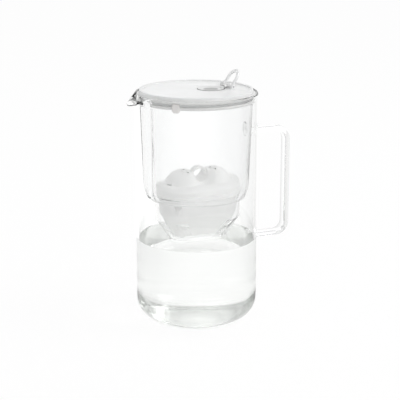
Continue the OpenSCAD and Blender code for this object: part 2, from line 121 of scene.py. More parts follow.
# Cartridge
SPAN = 18 * MM
BODY_R = 24.3 * MM
BODY_LOW_R = 23.6 * MM
BOTTOM_R = 10 * MM
WELL_GAP = 1.6 * MM
CART_T = 1.6 * MM
FLANGE_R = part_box("cartridge_cup")[1].y
FLANGE_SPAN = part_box("cartridge_cup")[1].x - WELL_X - FLANGE_R
BODY_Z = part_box("cartridge_cup")[0].z
CAP_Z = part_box("cartridge_cup")[1].z
FLANGE_T = 2 * MM
FLANGE_Z = CAP_Z - FLANGE_T
TAPER_H = 25.5 * MM
BODY_MID_Z = BODY_Z + TAPER_H
CUP_EDGE = 0.7 * MM
OUTLETS = 7
OUTLET_SLOT_W = 1.6 * MM
ARROW_TURN = 238
ARROW_Z = 122.5 * MM
ARROW_W = 7 * MM
ARROW_H = 8 * MM
ARROW_ROOT = 1.2 * MM
ARROW_RELIEF = 0.45 * MM

# Cartridge cap, with a tighter corner and a higher wall at its ends than at its front
CAP_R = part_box("cartridge_cap")[1].y
END_CORNER = 3.6 * MM
FRONT_CORNER = 11 * MM
END_WALL = 5.6 * MM
FRONT_WALL = 3 * MM
SHOULDER_H = 6 * MM
TOP_SLOPE = 0.12
DOME_R = 20 * MM
DOME_X = SPAN - 1 * MM
DOME_TOP = 26 * MM
DOME_Z = FLOOR_Z + DOME_TOP - DOME_R
DOME_BLEND = 5 * MM
SCOOP_X = 6 * MM
SCOOP_Y = -11.5 * MM
SCOOP_R = 9 * MM
SCOOP_DEPTH = 3.4 * MM
RECESS_R = 7.8 * MM
RECESS_BLEND = 2 * MM
VENT_R = 1.5 * MM
VENTS = ((-DOME_X, -1.5 * MM), (-DOME_X + 2 * MM, -8 * MM),
         (DOME_X - 4 * MM, -1 * MM), (DOME_X - 1 * MM, -7 * MM))
END_SLOT_R = 1.4 * MM
END_SLOT_REACH = SPAN + BODY_R * 0.72
END_SLOT_Y = 9 * MM
END_SLOT_STEP = 0.9 * MM
END_SLOT_LOW = 3 * MM
END_SLOT_TOP = 20 * MM
ARCH_R = 7 * MM
ARCH_T = 2.6 * MM
ARCH_W = 8 * MM
ARCH_TOP = 28 * MM
ARCH_Z = FLOOR_Z + ARCH_TOP - ARCH_R - ARCH_T
ARCH_START = -20
ARCH_END = 200

# Lid, flap and loop
LID_EDGE = 0.35 * MM
TAB_ROUNDNESS = 3.2
PIN_R = 0.9 * MM
BARREL_R = 2 * MM
BARREL_PLAY = 0.05 * MM
PIPE_EDGE = 0.2 * MM
PIN_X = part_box("hinge_pin")[0].x + PIN_R
PIN_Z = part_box("hinge_pin")[0].z + PIN_R
FLAP_R = 14 * MM
FLAP_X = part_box("fill_flap")[0].x + FLAP_R
FLAP_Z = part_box("fill_flap")[0].z
FLAP_T = 1.6 * MM
FLAP_EDGE = 0.25 * MM
DISH_DEPTH = 0.95 * MM
SEAT_R = 7.6 * MM
SEAT_DEPTH = 1.2 * MM
SEAT_SLOPE = 0.4 * MM
NECK_W = 8.8 * MM
NECK_LAP = 3 * MM
NECK_LEVEL = 1 * MM
NECK_LOW_RUN = 3 * MM
NECK_HIGH_RUN = 5 * MM
NECK_OVER_PIN = 1 * MM
LOOP_W = 22 * MM
LOOP_LEN = 19 * MM
LOOP_LIMB = 4 * MM
LOOP_T = 2.5 * MM
LOOP_PLAY = 0.1 * MM
LOOP_LEAN = 55

# Painted shade on the flap, as greys by the reach from its middle, with the start and the end of each
# change: a grey middle for shade seen through the thin dish, a dark ring inside the rim for the shadow
# in the gap round the flap, and near-white again past the rim
FLAP_PAINTED_SHADE = (
    (8.2 * MM, 7.2 * MM, 0.5),
    (FLAP_R - 1 * MM, FLAP_R - 0.3 * MM, 0.32),
    (FLAP_R + 0.1 * MM, FLAP_R + 0.5 * MM, 0.94),
)
GRAIN_DEPTH = 0.4 * MM

# Camera, fitted to the rims, the base, the handle and the water line of the photograph
CAMERA_LENS = 103.4
CAMERA_SENSOR = 36
CAMERA_PLACE = (-0.4618, -1.0466, 0.436)
CAMERA_TILT = 74.83
CAMERA_TURN = -24

# Room light on white and frosted things: its level, and the share that comes from the right
ROOM_LIGHT = 0.86
KEY_SHARE = 0.25
KEY_TURN = -30
LAMP_AIM = Vector((0, 0, 0.12))

# What clear things show above the paper: walls and a brighter ceiling, by the height of the view
WALL_LOW = 0.4
WALL_HIGH = 0.55
WALL_LIGHT = 0.6
CEILING_LOW = 0.62
CEILING_LIGHT = 1.5

# What clear things show of the paper: bright behind, grey at the sides, and a painted shadow right
# under the object, by the reach from the axis
PAPER_LIGHT = 1.12
PAPER_TURN = 84
PAPER_SIDES = 0.47
FRONT_LIGHT = 0.36
PAPER_NEAR = 0.075
PAPER_FAR = 0.12
UNDER_NEAR = 0.04
PAINTED_SHADOW_LIGHT = 0.84
FLOOR_SIDE = 6
FLOOR_DROP = 0.2 * MM
FLOOR_GLOW = 0.92

# Water
WATER_Z = 87.5 * MM
MENISCUS = 1.1 * MM
MENISCUS_W = 1.6 * MM
WETTING = 0.04 * MM


# Small helpers
def smooth_step(t):
    t = min(max(t, 0.0), 1.0)
    return t * t * (3 - 2 * t)


def soft_min(a, b, k):
    """The smaller of two lengths, rounded over k where they meet."""
    h = min(max(0.5 + 0.5 * (b - a) / k, 0.0), 1.0)
    return b * (1 - h) + a * h - k * h * (1 - h)


def soft_max(a, b, k):
    return -soft_min(-a, -b, k)


def arc(cx, cz, r, start, end, steps):
    """Points of an arc in a section, angles in degrees."""
    points = []
    for i in range(steps + 1):
        a = math.radians(start + (end - start) * i / steps)
        points.append((cx + r * math.cos(a), cz + r * math.sin(a)))
    return points


def strap_ring(centre, across, along, half_t, half_w, steps=28, power=0.6):
    """One rounded-rectangle ring, squarer as the power falls, with its two half sizes."""
    ring = []
    for i in range(steps):
        a = 2 * math.pi * i / steps
        c = math.copysign(abs(math.cos(a)) ** power, math.cos(a))
        s = math.copysign(abs(math.sin(a)) ** power, math.sin(a))
        ring.append(centre + across * c * half_t + along * s * half_w)
    return ring


def link(name, mesh):
    piece = bpy.data.objects.new(name, mesh)
    bpy.context.scene.collection.objects.link(piece)
    return piece


def skin(name, rings, closed=False, sharp=35):
    """A skin over equal rings of points, capped at its ends unless closed joins them."""
    count = len(rings[0])
    points = [p for ring in rings for p in ring]
    faces = []
    for i in range(len(rings) if closed else len(rings) - 1):
        j = (i + 1) % len(rings)
        for k in range(count):
            n = (k + 1) % count
            faces.append((i * count + k, i * count + n, j * count + n, j * count + k))
    if not closed:
        faces.append(tuple(reversed(range(count))))
        faces.append(tuple(range((len(rings) - 1) * count, len(rings) * count)))
    mesh = bpy.data.meshes.new(name)
    mesh.from_pydata(points, [], faces)
    facing = bmesh.new()
    facing.from_mesh(mesh)
    bmesh.ops.recalc_face_normals(facing, faces=facing.faces)
    facing.to_mesh(mesh)
    facing.free()
    mesh.shade_smooth()
    mesh.set_sharp_from_angle(angle=math.radians(sharp))
    return link(name, mesh)


def lathe(name, profile, place, steps=120, sharp=40):
    """A turned solid from a profile that starts and ends near its axis."""
    rings = []
    for r, z in profile:
        ring = []
        for i in range(steps):
            a = 2 * math.pi * i / steps
            ring.append((place.x + r * math.cos(a), place.y + r * math.sin(a), place.z + z))
        rings.append(ring)
    return skin(name, rings, sharp=sharp)


def round_edges(piece, width, limit=35):
    """Moulded edge rounding that stays in the mesh."""
    bevel = piece.modifiers.new("edge_rounding", "BEVEL")
    bevel.width = width
    bevel.segments = 3
    bevel.limit_method = "ANGLE"
    bevel.angle_limit = math.radians(limit)
    bevel.harden_normals = True
    apply_modifiers(piece)


def apply_modifiers(piece):
    graph = bpy.context.evaluated_depsgraph_get()
    done = bpy.data.meshes.new_from_object(piece.evaluated_get(graph))
    piece.modifiers.clear()
    old = piece.data
    piece.data = done
    done.name = piece.name
    bpy.data.meshes.remove(old)


# Glass jug
def spout_pull(angle):
    """How strongly the rim is pulled, at degrees from the spout's middle."""
    if abs(angle) >= SPOUT_SPREAD:
        return 0.0
    return math.cos(math.radians(90 * angle / SPOUT_SPREAD)) ** 4


def lip_middle(q, w):
    """Middle of the wall at share q from the spout's foot to the rim, pulled by w."""
    start = Vector((WALL_MID, SPOUT_FOOT))
    rise = Vector((WALL_MID, SPOUT_FOOT + SPOUT_ROOT * SPOUT_RISE))
    crest = Vector((WALL_MID + SPOUT_REACH * SPOUT_LEAN, SPOUT_FOOT + SPOUT_ROOT * SPOUT_CREST))
    tip = Vector((JUG_R + SPOUT_REACH - GLASS_T / 2, JUG_H - SPOUT_DROP))
    p = 1 - q
    bent = start * p ** 3 + rise * (3 * q * p * p) + crest * (3 * q * q * p) + tip * q ** 3
    plain = Vector((WALL_MID, SPOUT_FOOT + SPOUT_ROOT * q))
    return plain * (1 - w) + bent * w


def lip_normal(q, w):
    run = lip_middle(min(q + 0.01, 1), w) - lip_middle(max(q - 0.01, 0), w)
    run.normalize()
    return Vector((run.y, -run.x))


def lip_half(q, w):
    """Half the wall's thickness, thinner towards the tip of the spout."""
    return GLASS_T / 2 * (1 - LIP_THINNING * w * smooth_step(q))


def jug_section(w):
    """The glass wall's section, from under the base up the outside and down the inside."""
    section = [(AXIS_GAP, PUNT_H)]
    for i in range(1, 8):
        r = FLAT_R * 0.9 * i / 7
        section.append((r, PUNT_H * (1 - smooth_step(i / 7))))
    section += arc(FLAT_R, BASE_ROUND, BASE_ROUND, -90, 0, 18)
    section += [(JUG_R, BASE_ROUND + (SPOUT_FOOT - BASE_ROUND) * i / 9) for i in range(1, 9)]
    for i in range(17):
        q = i / 16
        c = lip_middle(q, w) + lip_normal(q, w) * lip_half(q, w)
        section.append((c.x, c.y))
    n = lip_normal(1, w) * lip_half(1, w)
    up = Vector((-n.y, n.x))
    for i in range(1, 8):
        a = math.pi * i / 8
        c = lip_middle(1, w) + n * math.cos(a) + up * math.sin(a)
        section.append((c.x, c.y))
    for i in range(16, -1, -1):
        q = i / 16
        c = lip_middle(q, w) - lip_normal(q, w) * lip_half(q, w)
        section.append((c.x, c.y))
    section += [(BORE_R, SPOUT_FOOT + (INNER_LOW - SPOUT_FOOT) * i / 9) for i in range(1, 9)]
    section += inner_floor()
    return section


def inner_floor():
    """The inside of the base, from the wall to the middle."""
    section = arc(FLAT_R, INNER_LOW, INNER_ROUND, 0, -90, 16)
    for i in range(1, 8):
        r = FLAT_R * (1 - i / 7.08)
        section.append((r, BASE_T + INNER_RISE * smooth_step(i / 7)))
    return section


def make_jug():
    sections = []
    for i in range(ROUND_STEPS):
        angle = 360 * i / ROUND_STEPS
        from_spout = (angle + 180) % 360 - 180
        sections.append((math.radians(angle + 180), jug_section(spout_pull(from_spout))))
    rings = []
    for row in range(len(sections[0][1])):
        ring = []
        for a, section in sections:
            r, z = section[row]
            ring.append((r * math.cos(a), r * math.sin(a), z))
        rings.append(ring)
    jug = skin("blown_glass_jug", rings, sharp=60)
    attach(jug, "jug")
    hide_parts("glass_body")
    return jug


# Glass handle
def handle_limb(z, across):
    """One limb from the wall to its bend, with points closer together at the foot."""
    points = []
    for i in range(20):
        run = (GRIP_X - BEND_R - JUG_R) * (i / 20) ** 1.6
        points.append((Vector((JUG_R + run, 0, z)), Vector((0, 0, across)), run))
    return points


def handle_bend(z, start):
    """A quarter turn down from a start angle in degrees."""
    points = []
    for i in range(13):
        a = math.radians(start - 90 * i / 12)
        out = Vector((math.cos(a), 0, math.sin(a)))
        points.append((Vector((GRIP_X - BEND_R, 0, z)) + out * BEND_R, out, 1))
    return points


def handle_path():
    """Centre points of the bar with the direction of its thickness and its distance from a foot."""
    high = LIMB_HIGH - BEND_R
    low = LIMB_LOW + BEND_R
    path = handle_limb(LIMB_HIGH, 1) + handle_bend(high, 90)
    for i in range(1, 16):
        path.append((Vector((GRIP_X, 0, high + (low - high) * i / 16)), Vector((1, 0, 0)), 1))
    return path + handle_bend(low, 0) + handle_limb(LIMB_LOW, -1)[::-1]


def make_handle():
    """The drawn bar, flared where its feet are fused to the round wall."""
    side = Vector((0, 1, 0))
    rings = []
    for centre, across, run in handle_path():
        flare = 1 - smooth_step(run / FOOT_REACH)
        half_t = BAR_T / 2 + flare * (FOOT_R - BAR_T / 2)
        half_w = BAR_W / 2 + flare * (FOOT_R - BAR_W / 2)
        ring = strap_ring(centre, across, side, half_t, half_w, steps=36, power=BAR_ROUNDNESS)
        if run < FOOT_REACH:
            for p in ring:
                p.x += (math.sqrt(JUG_R ** 2 - p.y ** 2) - JUG_R) * (1 - run / FOOT_REACH)
        rings.append(ring)
    handle = skin("drawn_glass_handle", rings, sharp=60)
    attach(handle, "jug")
    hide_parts("glass_handle")
    return handle


# Water
def make_water():
    """What the jug holds, a little into the glass so that no air film shows."""
    section = [(AXIS_GAP, WATER_Z)]
    for i in range(1, 25):
        r = BORE_R * (1 - (1 - i / 24) ** 2)
        section.append((r, WATER_Z + MENISCUS * math.exp((r - BORE_R) / MENISCUS_W)))
    section.append((BORE_R + WETTING, WATER_Z + MENISCUS))
    for i in range(1, 6):
        section.append((BORE_R + WETTING, WATER_Z + (INNER_LOW - WATER_Z) * i / 6))
    for r, z in inner_floor():
        section.append((r + WETTING * (r > FLAT_R), z - WETTING))
    water = lathe("filtered_water", section, Vector((0, 0, 0)), steps=240, sharp=60)
    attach(water, "jug")
    return water


# Hopper
def channel_reach(angle, grow):
    """How far a ray from the axis runs before it meets the pour channel."""
    c = math.cos(angle - math.pi)
    room = CHANNEL_X ** 2 - (CHANNEL_R + grow) ** 2
    inside = (CHANNEL_X * c) ** 2 - room
    if c <= 0 or inside <= 0:
        return JUG_R
    return CHANNEL_X * c - math.sqrt(inside)


def wall_ring(r, z, grow=0.0):
    """One level ring of the hopper's wall, pressed in by the pour channel."""
    ring = []
    for i in range(ROUND_STEPS):
        a = 2 * math.pi * i / ROUND_STEPS
        reach = soft_min(r, channel_reach(a, grow), CHANNEL_BLEND)
        ring.append((reach * math.cos(a), reach * math.sin(a), z))
    return ring


def oval_point(angle, r, span):
    """Where a ray from the oval's centre meets its round-ended outline."""
    c, s = math.cos(angle), math.sin(angle)
    if abs(s) > 1e-9:
        t = r / abs(s)
        if abs(t * c) <= span:
            return t * c, t * s
    cx = math.copysign(span, c)
    b = cx * c
    t = b + math.sqrt(b * b - span * span + r * r)
    return t * c, t * s


def oval_ring(r, z, steps=ROUND_STEPS, span=SPAN):
    """One level ring with round ends, as the well and the cartridge have."""
    ring = []
    for i in range(steps):
        x, y = oval_point(2 * math.pi * i / steps, r, span)
        ring.append((WELL_X + x, y, z))
    return ring


def make_hopper():
    """The funnel: its outside from the collar down to the outlet, and its inside back up."""
    t = HOPPER_T
    well_top, well_mid, well_low = (r + WELL_GAP for r in (BODY_R, BODY_LOW_R, BOTTOM_R))
    corner_z = FLOOR_Z + CORNER_H
    rings = [
        wall_ring(PLUG_R, COLLAR_Z),
        wall_ring(PLUG_R, HOPPER_RING_Z + RING_H),
        wall_ring(GROOVE_R, HOPPER_RING_Z + RING_H),
        wall_ring(GROOVE_R, HOPPER_RING_Z),
        wall_ring(PLUG_R, HOPPER_RING_Z),
        wall_ring(PLUG_R, COLLAR_LOW),
        wall_ring(HOPPER_TOP_R, COLLAR_LOW),
        wall_ring(HOPPER_LOW_R, corner_z),
        wall_ring(FLOOR_R + t, FLOOR_Z - t),
        oval_ring(well_top + t, FLOOR_Z - t),
        oval_ring(well_mid + t, WELL_MID_Z),
        oval_ring(well_low + t, WELL_Z),
        oval_ring(OUTLET_R, WELL_Z),
        oval_ring(OUTLET_R, WELL_Z + t),
        oval_ring(well_low + t * 0.35, WELL_Z + t),
        oval_ring(well_mid, WELL_MID_Z),
        oval_ring(well_top, FLOOR_Z),
        wall_ring(FLOOR_R, FLOOR_Z, t),
        wall_ring(HOPPER_LOW_R - t, corner_z, t),
        wall_ring(HOPPER_TOP_R - t, COLLAR_Z, t),
    ]
    hopper = skin("clear_hopper", rings, closed=True)
    round_edges(hopper, HOPPER_EDGE)
    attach(hopper, "hopper")
    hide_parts("hopper")
    return hopper


# Filter cartridge
def make_cup():
    """The cartridge's cup with its wide flange, open at the top and slotted underneath."""
    t = CART_T
    rings = [
        oval_ring(BOTTOM_R - t, BODY_Z + t),
        oval_ring(BODY_LOW_R - t, BODY_MID_Z),
        oval_ring(BODY_R - t, CAP_Z),
        oval_ring(FLANGE_R, CAP_Z, span=FLANGE_SPAN),
        oval_ring(FLANGE_R, FLANGE_Z, span=FLANGE_SPAN),
        oval_ring(BODY_R, FLANGE_Z),
        oval_ring(BODY_LOW_R, BODY_MID_Z),
        oval_ring(BOTTOM_R, BODY_Z),
    ]
    cup = skin("cartridge_cup_moulding", rings)
    round_edges(cup, CUP_EDGE, limit=20)
    slots = []
    for i in range(OUTLETS):
        x = WELL_X + SPAN * (2 * i / (OUTLETS - 1) - 1)
        slots.append(block(x, BODY_Z, OUTLET_SLOT_W / 2, BOTTOM_R / 2, 2 * t))
    cut(cup, slots)
    merge(cup, [make_arrow()])
    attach(cup, "cartridge")
    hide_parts("cartridge_cup")
    return cup


def make_arrow():
    """The small moulded arrow that points down on the cup's rounded end."""
    turn = math.radians(ARROW_TURN)
    out = Vector((math.cos(turn), math.sin(turn), 0))
    side = Vector((-out.y, out.x, 0))
    centre = Vector((WELL_X - SPAN, 0, ARROW_Z))
    rings = []
    for r in (BODY_R - ARROW_ROOT, BODY_R + ARROW_RELIEF):
        ring = []
        for across, up in ((-1, 1), (1, 1), (0, -1)):
            ring.append(centre + out * r + side * across * ARROW_W / 2
                        + Vector((0, 0, up * ARROW_H / 2)))
        rings.append(ring)
    return skin("cup_arrow", rings)


def cap_height(x, y, inset):
    """Height of the cap above its foot; x and y from its middle, inset from its outline."""
    front = smooth_step(abs(y) / max(math.hypot(max(abs(x) - SPAN, 0), y), MM))
    corner = END_CORNER + (FRONT_CORNER - END_CORNER) * front
    wall = END_WALL + (FRONT_WALL - END_WALL) * front
    inward = min(inset / corner, 1.0)
    height = wall + SHOULDER_H * math.sqrt(1 - (1 - inward) ** 2)
    height += TOP_SLOPE * max(inset - corner, 0)
    for side in (-1, 1):
        apart = math.hypot(x - side * DOME_X, y)
        if apart < DOME_R:
            dome = DOME_Z - CAP_Z + math.sqrt(DOME_R ** 2 - apart ** 2)
            height = soft_max(height, dome, DOME_BLEND)
    scoop = math.hypot(x - SCOOP_X, y - SCOOP_Y) / SCOOP_R
    if scoop < 1:
        height -= SCOOP_DEPTH * (1 - smooth_step(scoop))
    if abs(x) < RECESS_R:
        valley = ARCH_Z + ARCH_T - CAP_Z - math.sqrt(RECESS_R ** 2 - x * x)
        height = soft_min(height, valley, RECESS_BLEND)
    return height


def cap_ring(share, thin):
    """One ring of the cap's skin, at a share of its outline, on its outside or its inside."""
    ring = []
    outline = CAP_R - thin
    for i in range(CAP_STEPS):
        x, y = oval_point(2 * math.pi * i / CAP_STEPS, outline, SPAN)
        reach = math.hypot(x, y)
        inset = reach * (1 - share)
        z = CAP_Z + max(cap_height(x * share, y * share, inset) - thin, 0)
        ring.append((WELL_X + x * share, y * share, z))
    return ring


def cap_vents():
    """Cutters for two vents in each dome and a row of slots at each end of the cap."""
    vents = []
    for x, y in VENTS:
        vents.append(rod(WELL_X + x, y, DOME_Z, DOME_Z + 2 * DOME_R, VENT_R))
    for side in (-1, 1):
        for row in (-1, 0, 1):
            x = WELL_X + side * END_SLOT_REACH + row * END_SLOT_STEP
            y = side * END_SLOT_Y - row * END_SLOT_STEP
            vents.append(rod(x, y, CAP_Z + END_SLOT_LOW, CAP_Z + END_SLOT_TOP, END_SLOT_R))
    return vents


def make_cap():
    """The cap: an upright rim, a soft shoulder, two domes and the finger recess, one wall thick."""
    # Shares of the outline from the middle out, closer together at the rim
    shares = [0.01 + 0.94 * i / 30 for i in range(31)] + [0.965, 0.98, 0.99, 0.996, 1.0]
    rings = [cap_ring(share, CART_T) for share in shares[:31:2] + [0.98]]
    rings += [oval_ring(CAP_R - thin, CAP_Z, steps=CAP_STEPS) for thin in (CART_T, 0)]
    rings += [cap_ring(share, 0) for share in reversed(shares)]
    cap = skin("cartridge_cap_moulding", rings, sharp=50)
    cut(cap, cap_vents())
    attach(cap, "cartridge")
    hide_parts("cartridge_cap")
    return cap


def make_arch():
    """The pull loop: a rounded strap that bridges the valley between the domes."""
    rings = []
    for i in range(29):
        a = math.radians(ARCH_START + (ARCH_END - ARCH_START) * i / 28)
        out = Vector((math.cos(a), 0, math.sin(a)))
        centre = Vector((WELL_X, 0, ARCH_Z)) + out * (ARCH_R + ARCH_T / 2)
        rings.append(strap_ring(centre, out, Vector((0, 1, 0)), ARCH_T / 2, ARCH_W / 2))
    arch = skin("cartridge_pull_arch", rings, sharp=60)
    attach(arch, "cartridge")
    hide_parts("pull_loop")
    return arch


# Lid, flap and thumb loop
def make_lid():
    """The frosted plug lid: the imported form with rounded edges."""
    lid = link("lid_moulding", nodes["lid_plate"].data.copy())
    shape = bmesh.new()
    shape.from_mesh(lid.data)
    bmesh.ops.remove_doubles(shape, verts=shape.verts, dist=0.001 * MM)
    bmesh.ops.dissolve_limit(shape, angle_limit=math.radians(1), verts=shape.verts,
                             edges=shape.edges)
    shape.to_mesh(lid.data)
    shape.free()
    round_edges(lid, LID_EDGE)
    lid.data.shade_smooth()
    lid.data.set_sharp_from_angle(angle=math.radians(35))
    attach(lid, "lid")
    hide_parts("lid_plate")
    return lid


def make_tab():
    """The soft rounded nub that keeps the hopper from turning in the jug."""
    corners = [v.co for v in nodes["locating_tab"].data.vertices]
    low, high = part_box("locating_tab")
    out = Vector(((low.x + high.x) / 2, (low.y + high.y) / 2, 0)).normalized()
    side = Vector((-out.y, out.x, 0))
    reach = [c.dot(out) for c in corners]
    width = [c.dot(side) for c in corners]
    centre = out * (min(reach) + max(reach)) / 2 + side * (min(width) + max(width)) / 2
    half_t = (max(reach) - min(reach)) / 2
    half_w = (max(width) - min(width)) / 2
    rings = []
    for i in range(17):
        t = 0.03 + 0.94 * i / 16
        full = (1 - abs(2 * t - 1) ** TAB_ROUNDNESS) ** (1 / TAB_ROUNDNESS)
        place = centre + Vector((0, 0, low.z + (high.z - low.z) * t))
        rings.append(strap_ring(place, out, side, half_t * full ** 0.4, half_w * full, power=0.7))
    tab = skin("locating_nub", rings, sharp=70)
    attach(tab, "hopper")
    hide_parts("locating_tab")
    return tab


def flap_profile():
    """Half the flap's section: flat underneath, a narrow flat rim, a dish and a thin middle."""
    top = FLAP_T
    dish = top - DISH_DEPTH
    seat = top - SEAT_DEPTH
    middle = 0.3 * MM
    return [(middle, 0), (FLAP_R - FLAP_EDGE, 0), (FLAP_R, FLAP_EDGE),
            (FLAP_R - 0.1 * MM, top / 2), (FLAP_R - 0.5 * MM, top - 0.2 * MM),
            (FLAP_R - 0.9 * MM, top), (FLAP_R - 1.6 * MM, top),
            (FLAP_R - 2.0 * MM, top - 0.1 * MM), (FLAP_R - 2.8 * MM, top - 0.8 * MM),
            (FLAP_R - 3.4 * MM, dish), (SEAT_R, dish), (SEAT_R - SEAT_SLOPE, seat),
            (middle, seat)]


def make_neck():
    """The strap from the flap's rim up to the hinge barrel."""
    top = FLAP_Z + FLAP_T
    start = FLAP_X + FLAP_R - NECK_LAP
    rings = []
    for i in range(9):
        x = start + (PIN_X - start) * i / 8
        low_climb = smooth_step((x - start - NECK_LEVEL) / NECK_LOW_RUN)
        high_climb = smooth_step((x - start) / NECK_HIGH_RUN)
        low = FLAP_Z + (PIN_Z - BARREL_R - FLAP_Z) * low_climb
        high = top + (PIN_Z + NECK_OVER_PIN - top) * high_climb
        centre = Vector((x, 0, (low + high) / 2))
        rings.append(strap_ring(centre, Vector((0, 0, 1)), Vector((0, 1, 0)), (high - low) / 2,
                                NECK_W / 2, power=0.5))
    return skin("flap_neck", rings)


def make_flap():
    """The fill flap with its neck and hinge barrel, moulded in one."""
    flap = lathe("fill_flap_moulding", flap_profile(), Vector((FLAP_X, 0, FLAP_Z)))
    barrel = pipe("flap_barrel", BARREL_R, PIN_R + BARREL_PLAY, LOOP_W / 2)
    merge(flap, [make_neck(), barrel])
    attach(flap, "flap")
    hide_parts("fill_flap")
    return flap


def pipe(name, outer, inner, half_w):
    """A tube along the hinge's axis, with softened ends."""
    edge = PIPE_EDGE
    profile = [(inner, -half_w), (outer - edge, -half_w), (outer, -half_w + edge),
               (outer, half_w - edge), (outer - edge, half_w), (inner, half_w)]
    rings = []
    for r, y in profile:
        ring = []
        for i in range(48):
            a = 2 * math.pi * i / 48
            ring.append((PIN_X + r * math.cos(a), y, PIN_Z + r * math.sin(a)))
        rings.append(ring)
    return skin(name, rings, closed=True, sharp=40)


def make_thumb_loop():
    """A round-ended loop that stands on the barrel and leans to the handle."""
    lean = math.radians(LOOP_LEAN)
    along = Vector((math.cos(lean), 0, math.sin(lean)))
    face = Vector((-math.sin(lean), 0, math.cos(lean)))
    side = Vector((0, 1, 0))
    foot = Vector((PIN_X, 0, PIN_Z))
    middle_r = LOOP_W / 2 - LOOP_LIMB / 2
    bend = LOOP_LEN - LOOP_W / 2
    start = math.sqrt(BARREL_R ** 2 - (LOOP_T / 2) ** 2) + LOOP_PLAY
    path = [(start + (bend - start) * i / 6, -middle_r, -90) for i in range(7)]
    for i in range(1, 24):
        a = -90 + 180 * i / 24
        path.append((bend + middle_r * math.cos(math.radians(a)),
                     middle_r * math.sin(math.radians(a)), a))
    path += [(start + (bend - start) * i / 6, middle_r, 90) for i in range(6, -1, -1)]
    rings = []
    for run, y, a in path:
        out = along * math.cos(math.radians(a)) + side * math.sin(math.radians(a))
        centre = foot + along * run + side * y
        rings.append(strap_ring(centre, face, out, LOOP_T / 2, LOOP_LIMB / 2, power=0.72))
    loop = skin("thumb_loop_moulding", rings, sharp=60)
    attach(loop, "flap")
    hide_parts("thumb_loop")
    return loop


# Cutting and joining
def block(x, z, half_x, half_y, half_z):
    """A box-shaped cutter on the middle line."""
    return skin("cutter", [[(x + i * half_x, j * half_y, z + k * half_z)
                            for i, j in ((-1, -1), (1, -1), (1, 1), (-1, 1))] for k in (-1, 1)])


def rod(x, y, low, high, r):
    """An upright round cutter."""
    return skin("cutter", [[(x + r * math.cos(math.radians(15 * i)),
                             y + r * math.sin(math.radians(15 * i)), z) for i in range(24)]
                           for z in (low, high)])


def cut(piece, tools, operation="DIFFERENCE"):
    """Takes the tools' forms out of a piece, or adds them, and deletes the tools."""
    for tool in tools:
        step = piece.modifiers.new("cutting", "BOOLEAN")
        step.operation = operation
        step.solver = "EXACT"
        step.object = tool
    apply_modifiers(piece)
    for tool in tools:
        bpy.data.objects.remove(tool)
    piece.data.set_sharp_from_angle(angle=math.radians(40))


def merge(piece, others):
    """Moulds the others onto a piece."""
    cut(piece, others, "UNION")


# Nodes
def feed(tree, socket, source):
    """Links a socket to another node's output, or sets it to a plain value."""
    if isinstance(source, bpy.types.NodeSocket):
        tree.links.new(source, socket)
    else:
        socket.default_value = source


def maths(tree, operation, a, b, clamp=False):
    node = tree.nodes.new("ShaderNodeMath")
    node.operation = operation
    node.use_clamp = clamp
    feed(tree, node.inputs[0], a)
    feed(tree, node.inputs[1], b)
    return node.outputs["Value"]


def vector_maths(tree, operation, a, b=None):
    node = tree.nodes.new("ShaderNodeVectorMath")
    node.operation = operation
    feed(tree, node.inputs[0], a)
    if b is not None:
        feed(tree, node.inputs[1], b)
    return node.outputs["Value" if operation in ("LENGTH", "DOT_PRODUCT") else "Vector"]


def mix(tree, kind, factor, a, b):
    """A blend of two numbers or of two colours; kind is FLOAT or RGBA."""
    node = tree.nodes.new("ShaderNodeMix")
    node.data_type = kind
    feed(tree, node.inputs["Factor"], factor)
    feed(tree, node.inputs["A"], a)
    feed(tree, node.inputs["B"], b)
    return node.outputs["Result"]


def ramp(tree, value, start, end, low=0.0, high=1.0, curve="SMOOTHSTEP"):
    """Goes from low to high while the value goes from start to end, and is held outside them."""
    node = tree.nodes.new("ShaderNodeMapRange")
    node.interpolation_type = curve
    feed(tree, node.inputs["Value"], value)
    feed(tree, node.inputs["From Min"], start)
    feed(tree, node.inputs["From Max"], end)
    feed(tree, node.inputs["To Min"], low)
    feed(tree, node.inputs["To Max"], high)
    return node.outputs["Result"]


def bump(tree, height, depth, invert=False):
    node = tree.nodes.new("ShaderNodeBump")
    node.invert = invert
    feed(tree, node.inputs["Strength"], 1)
    feed(tree, node.inputs["Distance"], depth)
    feed(tree, node.inputs["Height"], height)
    return node.outputs["Normal"]


def coordinates(tree, kind):
    return tree.nodes.new("ShaderNodeTexCoord").outputs[kind]


# Materials
def new_material(name):
    material = bpy.data.materials.new(name)
    material.use_nodes = True
    tree = material.node_tree
    shader = tree.nodes["Principled BSDF"]
    return material, tree, shader


